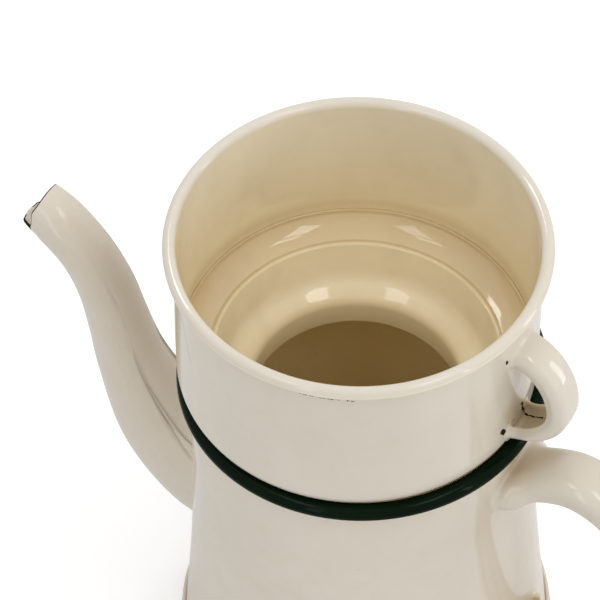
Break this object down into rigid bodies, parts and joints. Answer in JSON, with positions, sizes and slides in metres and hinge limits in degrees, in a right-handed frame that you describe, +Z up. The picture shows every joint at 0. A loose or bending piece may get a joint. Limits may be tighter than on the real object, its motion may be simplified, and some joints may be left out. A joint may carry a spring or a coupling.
{
  "type": "enamel drip coffee kettle",
  "caption": "Enamelled drip coffee kettle: a waisted pot with a gooseneck spout, strap handle and curled rim, under a lift-off open filter with a funnel and a small handle of its own.",
  "frame": {"origin": "centre of the underside, on the axis of the pot", "axes": "+Z up along the axis of the pot, +X towards the pot handle, -X towards the spout"},
  "size_m": [0.2522, 0.139, 0.2164],
  "materials": {
    "enamel": "glossy cream vitreous enamel on steel sheet",
    "green_enamel": "glossy dark green vitreous enamel on steel sheet"
  },
  "bodies": {
    "pot": {"pot_body": "enamel", "pot_base": "enamel", "pot_rim": "green_enamel", "spout_left": "enamel", "spout_right": "enamel", "pot_handle": "enamel"},
    "filter": {"filter_body": "enamel", "filter_funnel": "enamel", "filter_handle": "enamel"}
  },
  "joints": [
    {"name": "filter_lift", "type": "slide", "parent": "pot", "child": "filter", "axis": [0, 0, 1], "range_m": [0, 0.06]}
  ]
}
